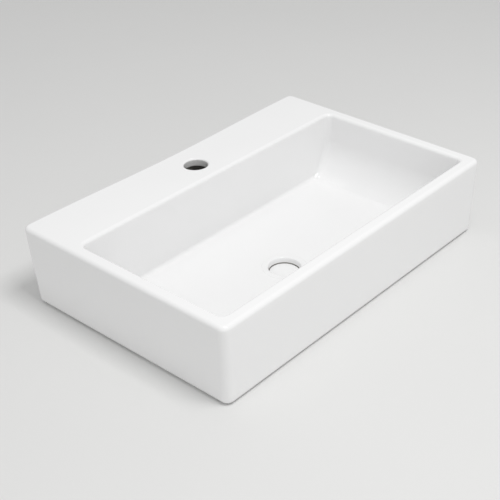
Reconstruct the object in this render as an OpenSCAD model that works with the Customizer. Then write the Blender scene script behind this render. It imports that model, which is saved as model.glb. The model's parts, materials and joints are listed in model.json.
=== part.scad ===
// Rectangular countertop basin in glazed ceramic, with its push-to-open waste.
// Origin: on the base plane, at the middle of the plan outline. +Z up, +Y to the tap deck, mm.

/* [Basin] */
// Width, side to side at the rim
basin_w = 550; // [450:5:650]
// Depth, front to back at the rim
basin_d = 355; // [320:5:420]
// Height of the rim over the base
basin_h = 116; // [100:1:150]
// Width of the left and right rims
side_rim = 18.25; // [12:0.25:24]
// Width of the front rim
front_rim = 18; // [12:0.5:24]
// Depth of the tap deck, back edge to bowl
deck_d = 94; // [85:0.5:115]
// Thickness of the tap deck
deck_t = 11; // [8:0.5:16]
// Plan radius of the outer corners
corner_r = 11; // [8:0.5:14]
// Rounding of the outer top edge
top_edge_r = 6; // [2:0.5:7]
// Rounding of the outer base edge
base_edge_r = 8; // [2:0.5:9]
// How far each end leans in from rim to base
side_lean = 4.8; // [0:0.1:6]
// How far the front leans in from rim to base
front_lean = 0.3; // [0:0.1:6]
// How far the back leans in from rim to base
back_lean = 9.5; // [0:0.1:11]

/* [Bowl] */
// Plan radius of the bowl's upright corners
bowl_corner_r = 10; // [6:0.5:14]
// Rounding of the bowl's top edge
bowl_edge_r = 5; // [1:0.25:6]
// Height of the bowl floor at the foot of its walls
floor_z = 16; // [14.5:0.5:22]
// Height of the bowl floor at the waste
drain_z = 9.5; // [8.5:0.25:12]
// Reach of the curved foot of each end wall, along the floor
end_curve_w = 34; // [20:1:50]
// Reach of the curved foot of each end wall, up the wall
end_curve_h = 57; // [30:1:65]
// Radius of the foot of the front and back walls
long_curve_r = 5; // [3:0.5:16]
// Distance from the middle of the bowl forward to the waste
waste_forward = 2.5; // [0:0.5:10]

/* [Underside] */
// Thickness of the wall between the bowl and the tap cavity
back_wall_t = 11; // [9:0.5:14]
// Thickness of the skirt behind the tap cavity
skirt_t = 10; // [8:0.5:14]
// Thickness of the end walls beside the tap cavity, at the base
cavity_end_t = 16; // [10:0.5:22]
// Radius of the tap cavity's upper edges
cavity_r = 12; // [6:0.5:16]
// Width of the ground foot round the base
foot_w = 22; // [16:1:30]
// Depth of the hollow inside the foot
foot_h = 3; // [1.5:0.25:4]
// Half width of the ground land that holds the waste
land_half_w = 60; // [50:1:80]
// Plan radius of the hollow's corners
hollow_r = 12; // [6:1:20]
// Depth of the recess for the rubber washer
recess_h = 1.5; // [1:0.25:2]
// Room round the washers in that recess
recess_clear = 5; // [2:0.5:6]

/* [Tap hole] */
// Diameter of the tap hole
tap_hole_d = 35; // [32:0.5:38]
// Distance of the tap hole's centre from the back edge
tap_setback = 51.5; // [42:0.5:56]
// Rounding of the tap hole's top edge
tap_edge_r = 1.2; // [0.5:0.1:2]

/* [Waste] */
// Outer diameter of the waste's pipe thread
barrel_d = 41.91; // [40:0.01:44]
// Wall of the waste's barrel
barrel_wall = 3; // [2:0.25:4]
// Length of the waste, flange to tail
waste_len = 65; // [60:1:90]
// Radius of the flange
flange_r = 32; // [28:0.5:34]
// Thickness of the flange at its edge
flange_edge_t = 1.2; // [0.8:0.1:2]
// Fall of the flange's underside, edge to neck
flange_fall = 1.7; // [1:0.1:2.2]
// Fall of the flange's top, edge to lip
flange_dish = 0.3; // [0.1:0.1:0.5]
// Radius of the dished throat that the plug sits in
throat_r = 21.75; // [21.5:0.25:24]
// Rounding of the throat's lip
lip_r = 2.2; // [1.5:0.1:2.3]
// Wall round the throat
throat_wall = 1.5; // [1.2:0.1:2]
// Thickness of the seal under the flange
flange_seal_t = 0.8; // [0.5:0.1:1.2]
// Room between the waste and the ceramic
ceramic_clear = 0.5; // [0.3:0.1:1]
// Length of the chamfer at the tail's end
tail_chamfer = 1; // [0.5:0.25:2]
// Width of the relief groove between the nut's thread and the tail's
relief_w = 1.5; // [1:0.25:3]
// Depth of the relief groove
relief_t = 1; // [0.6:0.1:1.2]
// Distance from the back nut down to the relief groove
relief_drop = 0.5; // [0.2:0.1:2]

/* [Fixings] */
// Distance from the foot of the throat down to the slip washer
dish_clear = 0.8; // [0.4:0.1:2]
// Outer radius of both washers
washer_r = 33; // [30:0.5:36]
// Room round the waste in the rubber washer
washer_clear = 0.25; // [0.1:0.05:0.5]
// Thickness of the slip washer
slip_washer_t = 1.5; // [1:0.25:2]
// Back nut, across flats
nut_af = 54; // [50:1:60]
// Thickness of the back nut
nut_t = 9; // [7:0.5:12]
// Radial room in each thread
thread_clear = 0.05; // [0.02:0.01:0.1]

/* [Plug] */
// Depth of the plug's top below the flange, shut
plug_recess = 7; // [6:0.25:8]
// Ring gap between the plug and the throat
plug_gap = 1; // [0.6:0.1:1.5]
// Thickness of the plug at its edge
plug_edge_t = 2.2; // [1.8:0.1:3]
// Rise of the plug's crown over its edge
plug_crown = 0.5; // [0.2:0.1:1]
// Thickness of the plug's seal
plug_seal_t = 3; // [2.5:0.25:4]
// Radial width of the plug's seal
plug_seal_w = 3.9; // [3:0.1:5]
// Setback of the seal from the plug's edge
plug_seal_inset = 0.35; // [0.2:0.05:0.8]
// Gap left between the plug's seal and its seat
seal_gap = 0.3; // [0.2:0.05:0.5]
// Radius of the boss under the plug
boss_r = 7; // [6:0.25:8]
// Depth of the boss below the plug's top edge
boss_drop = 11; // [9:0.5:14]
// Radius of the stud that joins plug and plunger
stud_r = 3; // [2.5:0.1:3.2]
// Length of the stud
stud_len = 6; // [4:0.5:7]
// Travel of the plug, shut to open
plug_travel = 9; // [7:0.5:10]

/* [Cartridge] */
// Gap under the boss when shut
boss_clear = 0.9; // [0.6:0.1:2]
// Radius of the plunger
plunger_r = 3.5; // [3.3:0.1:3.8]
// Radius of the plunger's collar
collar_r = 4.1; // [4:0.05:4.2]
// Height of the plunger's collar
collar_h = 2; // [1.5:0.25:3]
// Radius of the plunger's nose, inside the latch ring
nose_r = 2.4; // [2:0.1:2.6]
// Length of the plunger's nose
nose_len = 7.5; // [5:0.5:9]
// Radial room of each running fit
run_clear = 0.08; // [0.03:0.01:0.1]
// Gap between faces that slide on each other
face_clear = 0.1; // [0.05:0.05:0.2]
// Gap left at the plunger's upper stop
stop_clear = 0.3; // [0.2:0.1:0.5]
// Radius of the cartridge's chamber
chamber_r = 5; // [4.9:0.05:5.3]
// Wall of the cartridge
cartridge_wall = 1.4; // [1.2:0.1:2]
// Thickness of the cartridge's floor
cartridge_floor_t = 2; // [1.5:0.25:3]
// Radius of the cartridge's shoulder
shoulder_r = 9; // [8:0.25:10]
// Height of the cartridge's shoulder
shoulder_h = 2.5; // [2:0.25:4]
// Cartridge cap, across flats
cap_af = 13; // [12:0.5:15]
// Height of the cartridge cap's head
cap_h = 2; // [1.5:0.25:3]
// Depth of the cartridge cap's spigot
spigot_len = 4.5; // [3:0.5:6]
// Height of the latch ring
ring_h = 3; // [2.5:0.25:4]
// Radius of the latch ring's core
ring_r = 3.9; // [3.6:0.05:4]
// Room outside the latch ring's lugs
lug_clear = 0.2; // [0.15:0.05:0.3]
// Width of each lug and guide rib
lug_w = 1.2; // [1:0.1:1.4]
// Turn of the latch ring over the plug's travel, degrees
latch_turn = 45; // [45:1:45]
// Length of the spring, plug shut
spring_len = 10.5; // [9:0.5:14]
// Mean radius of the spring
spring_r = 3.7; // [3.5:0.05:3.9]
// Diameter of the spring's wire
wire_d = 0.7; // [0.5:0.05:0.9]
// Turns of the spring
spring_turns = 6; // [4:1:7]

/* [Spider] */
// Height of the spider's hub and arms
spider_h = 4; // [3:0.5:6]
// Wall of the spider's hub
hub_wall = 3; // [2:0.25:3.5]
// Width of each spider arm
arm_w = 3; // [2:0.25:4]
// Count of spider arms
arm_n = 4; // [3:1:6]

/* [Hidden] */
$fn = 64;
arc_steps = 6;
corner_steps = 8;
foot_steps = 18;
lug_n = 4;

// How far the bowl's floor runs on inside the waste's seat, which cuts it
floor_lap = 1;

// Basin
back_y = basin_d / 2;
front_y = -basin_d / 2;
bowl_x = basin_w / 2 - side_rim;
bowl_front_y = front_y + front_rim;
bowl_back_y = back_y - deck_d;
drain_y = (bowl_front_y + bowl_back_y) / 2 - waste_forward;
tap_y = back_y - tap_setback;
deck_under_z = basin_h - deck_t;
cavity_y = bowl_back_y + back_wall_t;
cavity_x = basin_w / 2 - side_lean - cavity_end_t;
foot_x = basin_w / 2 - side_lean - foot_w;

// Waste
barrel_r = barrel_d / 2;
bore_r = barrel_r - barrel_wall;
neck_r = throat_r + throat_wall;
waste_hole_r = neck_r + ceramic_clear;
seat_r = flange_r + ceramic_clear;
tail_z = drain_z - waste_len;
flange_under_z = drain_z - flange_edge_t;
neck_top_z = flange_under_z - flange_fall;
lip_z = drain_z - flange_dish;

// Plug
plug_top_z = drain_z - plug_recess;
plug_r = throat_r - plug_gap;
plug_under_z = plug_top_z - plug_edge_t;
plug_seal_r = plug_r - plug_seal_inset;
plug_seal_z = plug_under_z - plug_seal_t;
seal_cut = plug_seal_t * 2 / 3;
boss_z = plug_top_z - boss_drop;

// The seat is a 45 degree cone, seal_gap outside the seal's own cut corner
seat_z = plug_seal_z + seal_cut + (throat_r - plug_seal_r) - seal_gap * sqrt(2);
seat_foot_z = seat_z - (throat_r - bore_r);
dish_sum = throat_r - seat_z + throat_wall * sqrt(2);

// Washers and nut, from the recess in the base down
slip_top_z = barrel_r - dish_sum - dish_clear;
nut_top_z = slip_top_z - slip_washer_t;
relief_z = nut_top_z - nut_t - relief_drop;

// Cartridge, from the top down
cap_z = boss_z - boss_clear - cap_h;
hub_z = cap_z - shoulder_h;
spigot_z = cap_z - spigot_len;
collar_z = spigot_z - stop_clear - plug_travel - collar_h;
ring_top_z = collar_z - face_clear;
ring_z = ring_top_z - ring_h;
spring_top_z = ring_z - face_clear;
chamber_z = spring_top_z - spring_len;
cartridge_r = chamber_r + cartridge_wall;
hub_bore_r = cartridge_r + thread_clear;
hub_r = hub_bore_r + hub_wall;
lug_r = chamber_r - lug_clear;
guide_r = collar_r + run_clear;

// A guide rib's end climbs as the lugs do while they turn past it
lug_half = asin(lug_w / 2 / guide_r);
guide_ramp = plug_travel * (2 * lug_half) / latch_turn;

// Points of a circular arc, centre c, radii rx and rz, from angle a to angle b
function arc(c, rx, rz, a, b) =
    [for (i = [0:arc_steps]) let (t = a + (b - a) * i / arc_steps) [c[0] + rx * cos(t), c[1] + rz * sin(t)]];

module basin_body() {
    color("white")
    difference() {
        outer_form();
        bowl();
        tap_cavity();
        tap_hole();
        waste_hole();
        base_hollow();
    }
}

// Block with rounded corners and edges that leans in towards its base
module outer_form() {
    base_rings = [for (i = [0:arc_steps]) let (t = 90 * i / arc_steps)
        outer_ring(base_edge_r * (1 - cos(t)), base_edge_r * (1 - sin(t)))];
    rim_rings = [for (i = [0:arc_steps]) let (t = 90 * i / arc_steps)
        outer_ring(basin_h - top_edge_r * (1 - sin(t)), top_edge_r * (1 - cos(t)))];
    loft(concat(base_rings, rim_rings));
}

// The block's outline at height z, drawn in by inset
function outer_ring(z, inset) =
    let (low = max(0, 1 - z / (basin_h - top_edge_r)))
    plan_ring(basin_w / 2 - side_lean * low - inset, front_y + front_lean * low + inset,
        back_y - back_lean * low - inset, corner_r - inset, z);

// Rounded rectangle at height z, from -x to x and y0 to y1
function plan_ring(x, y0, y1, r, z) =
    [for (c = [0:3], i = [0:corner_steps])
        let (a = 90 * (c + i / corner_steps), sx = (c == 0 || c == 3) ? 1 : -1, cy = c < 2 ? y1 - r : y0 + r)
        [sx * (x - r) + r * cos(a), cy + r * sin(a), z]];

// Closed solid through rings of equally many points, from the lowest ring up
module loft(rings) {
    n = len(rings[0]);
    m = len(rings);
    polyhedron([for (ring_points = rings) for (p = ring_points) p], concat(
        [[for (j = [0:n - 1]) j]],
        [[for (j = [n - 1:-1:0]) (m - 1) * n + j]],
        [for (i = [0:m - 2], j = [0:n - 1]) [i * n + j, (i + 1) * n + j, (i + 1) * n + (j + 1) % n]],
        [for (i = [0:m - 2], j = [0:n - 1]) [i * n + j, (i + 1) * n + (j + 1) % n, i * n + (j + 1) % n]]));
}

// The bowl: upright walls, curved feet, a rounded top edge, and a floor that falls to the waste
module bowl() {
    foot_rings = [for (i = [0:foot_steps]) bowl_ring(floor_z + end_curve_h * (1 - cos(90 * i / foot_steps)), 0)];
    edge_rings = [for (i = [0:arc_steps]) let (t = 90 * i / arc_steps)
        bowl_ring(basin_h - bowl_edge_r * (1 - sin(t)), bowl_edge_r * (1 - cos(t)))];
    drain_ring = [for (p = foot_rings[0])
        let (away = [p[0], p[1] - drain_y], reach = (seat_r - floor_lap) / norm(away))
        [away[0] * reach, drain_y + away[1] * reach, drain_z]];
    loft(concat([drain_ring], foot_rings, edge_rings, [bowl_ring(basin_h + 1, bowl_edge_r)]));
}

// The bowl's outline at height z, let out by grow
function bowl_ring(z, grow) =
    let (end = foot_inset(z, end_curve_w, end_curve_h), long = foot_inset(z, long_curve_r, long_curve_r))
    plan_ring(bowl_x - end + grow, bowl_front_y + long - grow, bowl_back_y - long + grow, bowl_corner_r + grow, z);

// How far a foot, w wide and h high, stands in from its wall at height z. It is an arc that
// starts level with the wall, and meets the floor level only where w and h are the same
function foot_inset(z, w, h) =
    let (r = (w * w + h * h) / (2 * w), down = max(0, floor_z + h - z)) r - sqrt(max(0, r * r - down * down));

// Open space under the tap deck, for the tap's tails and nut
module tap_cavity() {
    skirt_base_y = back_y - back_lean - skirt_t;
    skirt_top_y = skirt_base_y + back_lean * deck_under_z / basin_h;
    translate([-cavity_x, 0, 0]) rotate([90, 0, 90]) linear_extrude(2 * cavity_x)
        polygon(concat(
            [[cavity_y, -1], [skirt_base_y, -1]],
            arc([skirt_top_y - cavity_r, deck_under_z - cavity_r], cavity_r, cavity_r, 0, 90),
            arc([cavity_y + cavity_r, deck_under_z - cavity_r], cavity_r, cavity_r, 90, 180)));
}

module tap_hole() {
    r = tap_hole_d / 2;
    translate([0, tap_y, 0]) {
        translate([0, 0, deck_under_z - 1]) cylinder(h = deck_t + 2, r = r);
        rotate_extrude()
            polygon(concat(
                [[r - 1, basin_h + 1], [r - 1, basin_h - tap_edge_r]],
                arc([r + tap_edge_r, basin_h - tap_edge_r], tap_edge_r, tap_edge_r, 180, 90),
                [[r + tap_edge_r, basin_h + 1]]));
    }
}

// Hole for the waste, with a shallow cone that its flange and seal lie in
module waste_hole() {
    seat_edge_z = flange_under_z - flange_seal_t;
    seat_neck_z = neck_top_z - flange_seal_t;
    translate([0, drain_y, 0]) rotate_extrude()
        polygon([[0, -1], [waste_hole_r, -1], [waste_hole_r, seat_neck_z],
            [seat_r, seat_edge_z], [seat_r, drain_z + 2], [0, drain_z + 2]]);
}

// Shallow hollows under the bowl, one each side of the ground land, and the washers' recess
module base_hollow() {
    y0 = front_y + front_lean + foot_w;
    y1 = bowl_back_y - foot_w / 2;
    size = [foot_x - land_half_w, y1 - y0];
    for (sx = [-1, 1]) translate([sx * (foot_x + land_half_w) / 2, (y0 + y1) / 2, -1])
        linear_extrude(foot_h + 1) rounded_rectangle(size, hollow_r);
    translate([0, drain_y, -1]) cylinder(h = recess_h + 1, r = washer_r + recess_clear);
}

module rounded_rectangle(size, r) {
    x = size[0] / 2 - r;
    y = size[1] / 2 - r;
    square([size[0], 2 * y], center = true);
    square([2 * x, size[1]], center = true);
    for (sx = [-1, 1], sy = [-1, 1]) translate([sx * x, sy * y]) circle(r);
}

module flange_seal() {
    color("dimgray")
    translate([0, drain_y, 0]) rotate_extrude()
        polygon([[neck_r + ceramic_clear, neck_top_z], [flange_r, flange_under_z],
            [flange_r, flange_under_z - flange_seal_t],
            [neck_r + ceramic_clear, neck_top_z - flange_seal_t]]);
}

module waste_body() {
    lip_c = [throat_r + lip_r, lip_z - lip_r];
    edge_in = 0.5;
    color("white")
    translate([0, drain_y, 0]) {
        rotate_extrude()
            polygon(concat(
                [[flange_r, flange_under_z], [flange_r, drain_z - edge_in], [flange_r - edge_in, drain_z]],
                arc(lip_c, lip_r, lip_r, 90, 180),
                [[throat_r, seat_z], [bore_r, seat_foot_z], [bore_r, tail_z],
                    [barrel_r - tail_chamfer, tail_z], [barrel_r, tail_z + tail_chamfer],
                    [barrel_r, relief_z - relief_w], [barrel_r - relief_t, relief_z - relief_w],
                    [barrel_r - relief_t, relief_z], [barrel_r, relief_z],
                    [barrel_r, barrel_r - dish_sum], [neck_r, neck_r - dish_sum],
                    [neck_r, neck_top_z]]));
        spider();
    }
}

// Arms and threaded hub that carry the cartridge across the barrel
module spider() {
    arm_reach = bore_r + barrel_wall / 2;
    translate([0, 0, hub_z - spider_h])
    difference() {
        union() {
            cylinder(h = spider_h, r = hub_r);
            for (i = [0:arm_n - 1])
                rotate([0, 0, 360 * i / arm_n]) translate([hub_bore_r + 1, -arm_w / 2, 0])
                    cube([arm_reach - hub_bore_r - 1, arm_w, spider_h]);
        }
        translate([0, 0, -1]) cylinder(h = spider_h + 2, r = hub_bore_r);
    }
}

// Flat ring round the waste, with its top at height z
module ring(z, t, r_in, r_out) {
    translate([0, drain_y, z - t])
    difference() {
        cylinder(h = t, r = r_out);
        translate([0, 0, -1]) cylinder(h = t + 2, r = r_in);
    }
}

module under_washer() {
    color("dimgray") ring(recess_h, recess_h - slip_top_z, neck_r + washer_clear, washer_r);
}

module slip_washer() {
    color("gainsboro") ring(slip_top_z, slip_washer_t, barrel_r + washer_clear, washer_r);
}

module back_nut() {
    color("goldenrod")
    translate([0, drain_y, nut_top_z - nut_t])
    difference() {
        cylinder(h = nut_t, r = nut_af / 2 / cos(30), $fn = 6);
        translate([0, 0, -1]) cylinder(h = nut_t + 2, r = barrel_r + thread_clear);
    }
}

// Low crowned disc with a hub for its seal and a boss for the plunger's stud
module plug_cap() {
    edge_r = 0.8;
    seal_in_r = plug_seal_r - plug_seal_w;
    color("white")
    translate([0, drain_y, 0])
    difference() {
        rotate_extrude()
            polygon(concat(
                [[0, boss_z], [boss_r, boss_z], [boss_r, plug_seal_z - 1], [seal_in_r, plug_seal_z - 1],
                    [seal_in_r, plug_under_z], [plug_r, plug_under_z]],
                arc([plug_r - edge_r, plug_top_z - edge_r], edge_r, edge_r, 0, 90),
                [[plug_r / 2, plug_top_z + plug_crown * 3 / 4], [0, plug_top_z + plug_crown]]));
        translate([0, 0, boss_z - 1]) cylinder(h = stud_len + 1, r = stud_r + thread_clear);
    }
}

module plug_seal() {
    seal_in_r = plug_seal_r - plug_seal_w;
    color("dimgray")
    translate([0, drain_y, 0]) rotate_extrude()
        polygon([[seal_in_r, plug_under_z], [plug_seal_r, plug_under_z],
            [plug_seal_r, plug_seal_z + seal_cut], [plug_seal_r - seal_cut, plug_seal_z],
            [seal_in_r, plug_seal_z]]);
}

module plunger() {
    color("silver")
    translate([0, drain_y, 0]) rotate_extrude()
        polygon([[0, boss_z + stud_len - face_clear], [stud_r, boss_z + stud_len - face_clear],
            [stud_r, boss_z], [plunger_r, boss_z], [plunger_r, collar_z + collar_h],
            [collar_r, collar_z + collar_h], [collar_r, collar_z], [nose_r, collar_z],
            [nose_r, collar_z - nose_len], [0, collar_z - nose_len]]);
}

// Threaded tube with a closed foot, and guide ribs that the latch ring's lugs run between
module cartridge_body() {
    drain_hole_r = 1.5;
    color("ghostwhite")
    translate([0, drain_y, 0]) {
        difference() {
            union() {
                translate([0, 0, chamber_z - cartridge_floor_t])
                    cylinder(h = cap_z - chamber_z + cartridge_floor_t, r = cartridge_r);
                translate([0, 0, hub_z]) cylinder(h = shoulder_h, r = shoulder_r);
            }
            translate([0, 0, chamber_z]) cylinder(h = cap_z - chamber_z + 1, r = chamber_r);
            translate([0, 0, chamber_z - cartridge_floor_t - 1])
                cylinder(h = cartridge_floor_t + 2, r = drain_hole_r);
        }
        for (i = [0:lug_n - 1]) rotate([0, 0, 360 * i / lug_n]) guide_rib();
    }
}

module guide_rib() {
    low_z = ring_top_z + stop_clear;
    top_z = spigot_z - face_clear;
    translate([guide_r, 0, 0]) rotate([90, 0, 90]) linear_extrude(chamber_r + cartridge_wall / 2 - guide_r)
        polygon([[-lug_w / 2, low_z], [lug_w / 2, low_z + guide_ramp], [lug_w / 2, top_z], [-lug_w / 2, top_z]]);
}

module cartridge_cap() {
    color("silver")
    translate([0, drain_y, 0])
    difference() {
        union() {
            translate([0, 0, cap_z]) cylinder(h = cap_h, r = cap_af / 2 / cos(30), $fn = 6);
            translate([0, 0, spigot_z]) cylinder(h = spigot_len + 0.5, r = chamber_r - thread_clear);
        }
        translate([0, 0, spigot_z - 1]) cylinder(h = cap_h + spigot_len + 2, r = plunger_r + run_clear);
    }
}

// Ring with four lugs that turns an eighth of a turn as the plug rises
module latch_ring() {
    color("goldenrod")
    translate([0, drain_y, ring_z])
    difference() {
        union() {
            cylinder(h = ring_h, r = ring_r);
            for (i = [0:lug_n - 1]) rotate([0, 0, 360 * i / lug_n])
                translate([nose_r + 1, -lug_w / 2, 0]) cube([lug_r - nose_r - 1, lug_w, ring_h]);
        }
        translate([0, 0, -1]) cylinder(h = ring_h + 2, r = nose_r + run_clear);
    }
}

// Coil spring: one round wire carried along a helix
module spring() {
    wire_r = wire_d / 2;
    rise = spring_len - wire_d;
    sides = 8;
    steps = 16 * spring_turns;
    rings = [for (i = [0:steps]) let (a = 360 * spring_turns * i / steps, z = chamber_z + wire_r + rise * i / steps)
        [for (j = [0:sides - 1]) let (b = 360 * j / sides, r = spring_r + wire_r * cos(b))
            [r * cos(a), r * sin(a), z + wire_r * sin(b)]]];
    points = [for (section = rings) for (p = section) p];
    walls = [for (i = [0:steps - 1], j = [0:sides - 1]) let (k = (j + 1) % sides)
        [[i * sides + j, (i + 1) * sides + j, (i + 1) * sides + k],
            [i * sides + j, (i + 1) * sides + k, i * sides + k]]];
    faces = concat([for (pair = walls) for (tri = pair) tri],
        [[for (j = [0:sides - 1]) j]],
        [[for (j = [sides - 1:-1:0]) steps * sides + j]]);
    echo(least_gap_between_turns = rise / spring_turns - wire_d);
    color("lightsteelblue") translate([0, drain_y, 0]) polyhedron(points, faces);
}

basin_body();
flange_seal();
waste_body();
under_washer();
slip_washer();
back_nut();
plug_cap();
plug_seal();
plunger();
cartridge_body();
cartridge_cap();
latch_ring();
spring();
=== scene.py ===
import json
import math

import bmesh
import bpy
import numpy as np
from mathutils import Matrix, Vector
from mathutils.geometry import delaunay_2d_cdt


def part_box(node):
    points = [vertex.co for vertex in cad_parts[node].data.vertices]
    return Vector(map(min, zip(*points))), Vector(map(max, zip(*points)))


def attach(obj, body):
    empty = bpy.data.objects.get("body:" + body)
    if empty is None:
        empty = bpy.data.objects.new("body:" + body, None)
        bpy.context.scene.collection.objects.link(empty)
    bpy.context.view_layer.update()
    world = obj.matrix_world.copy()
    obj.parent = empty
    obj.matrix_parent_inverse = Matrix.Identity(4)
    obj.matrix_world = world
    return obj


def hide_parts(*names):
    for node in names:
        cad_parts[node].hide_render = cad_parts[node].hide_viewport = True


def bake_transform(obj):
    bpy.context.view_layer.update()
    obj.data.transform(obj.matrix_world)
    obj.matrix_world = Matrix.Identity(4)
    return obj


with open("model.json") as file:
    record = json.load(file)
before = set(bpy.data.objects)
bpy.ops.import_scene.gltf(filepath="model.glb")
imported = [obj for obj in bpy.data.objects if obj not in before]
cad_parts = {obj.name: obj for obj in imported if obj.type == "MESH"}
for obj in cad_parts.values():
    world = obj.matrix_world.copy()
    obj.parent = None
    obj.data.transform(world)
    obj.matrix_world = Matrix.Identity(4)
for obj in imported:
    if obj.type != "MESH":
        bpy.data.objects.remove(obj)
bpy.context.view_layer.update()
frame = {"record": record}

# A white vitreous china countertop basin with its enamelled push-to-open waste.
# Sizes are in millimetres in the frame's own axes, and become metres where a mesh is made.
mm = 0.001


def boxOf(node):  # lowest and highest corner of a fixed node, in mm
    low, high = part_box(node)
    return np.array(low) / mm, np.array(high) / mm


basinLow, basinHigh = boxOf("basin_body")
wasteLow, wasteHigh = boxOf("waste_body")
drainY = (wasteLow[1] + wasteHigh[1]) / 2
drainZ = wasteHigh[2]
topZ = basinHigh[2]
tapMount = next(m for m in frame["record"]["mounts"] if m["name"] == "tap_hole")


# CAMERA: where the photographer stood, with the lens that gives the same perspective

view = {
    "azimuth": -48.73, "elevation": 31.91, "roll": -0.50,  # degrees
    "target": (-53.45, -23.19, 55.0), "distance": 1490.9,
    "focalPixels": 1100.8, "framePixels": 500, "sensor": 36.0,
    "clip": (10, 50000),
}


def axesFacing(azimuth, elevation):
    # across, up and backward directions of something that looks at the basin from there
    a, e = math.radians(azimuth), math.radians(elevation)
    back = np.array([math.sin(a) * math.cos(e), -math.cos(a) * math.cos(e), math.sin(e)])
    across = np.array([math.cos(a), math.sin(a), 0])
    return across, np.cross(back, across), back


def placeFacing(piece, across, up, back, position):
    # links a camera or a lamp to the scene, with its axes and its place in mm as one matrix
    place = np.eye(4)
    place[:3, 0], place[:3, 1], place[:3, 2], place[:3, 3] = across, up, back, position * mm
    bpy.context.scene.collection.objects.link(piece)
    piece.matrix_world = Matrix(place.tolist())


def addCamera(v):
    # the camera's own axes are the facing ones turned by the roll
    across, up, back = axesFacing(v["azimuth"], v["elevation"])
    c, s = math.cos(math.radians(v["roll"])), math.sin(math.radians(v["roll"]))
    data = bpy.data.cameras.new("photoCamera")
    data.sensor_width = v["sensor"]
    data.lens = v["focalPixels"] / v["framePixels"] * v["sensor"]
    data.clip_start, data.clip_end = (reach * mm for reach in v["clip"])
    camera = bpy.data.objects.new("photoCamera", data)
    position = np.array(v["target"]) + back * v["distance"]
    placeFacing(camera, c * across + s * up, c * up - s * across, back, position)
    bpy.context.scene.camera = camera


addCamera(view)
bpy.context.scene.view_settings.view_transform = "Standard"
print("camera set")


# MATERIALS. The colour drifts between two values in patches of the given size, and the roughness
# between two values in smears of theirs. Each bump has the size of its lumps, their height, and
# what they follow: the place itself, or the marks of the tool. Lengths are in mm

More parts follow.
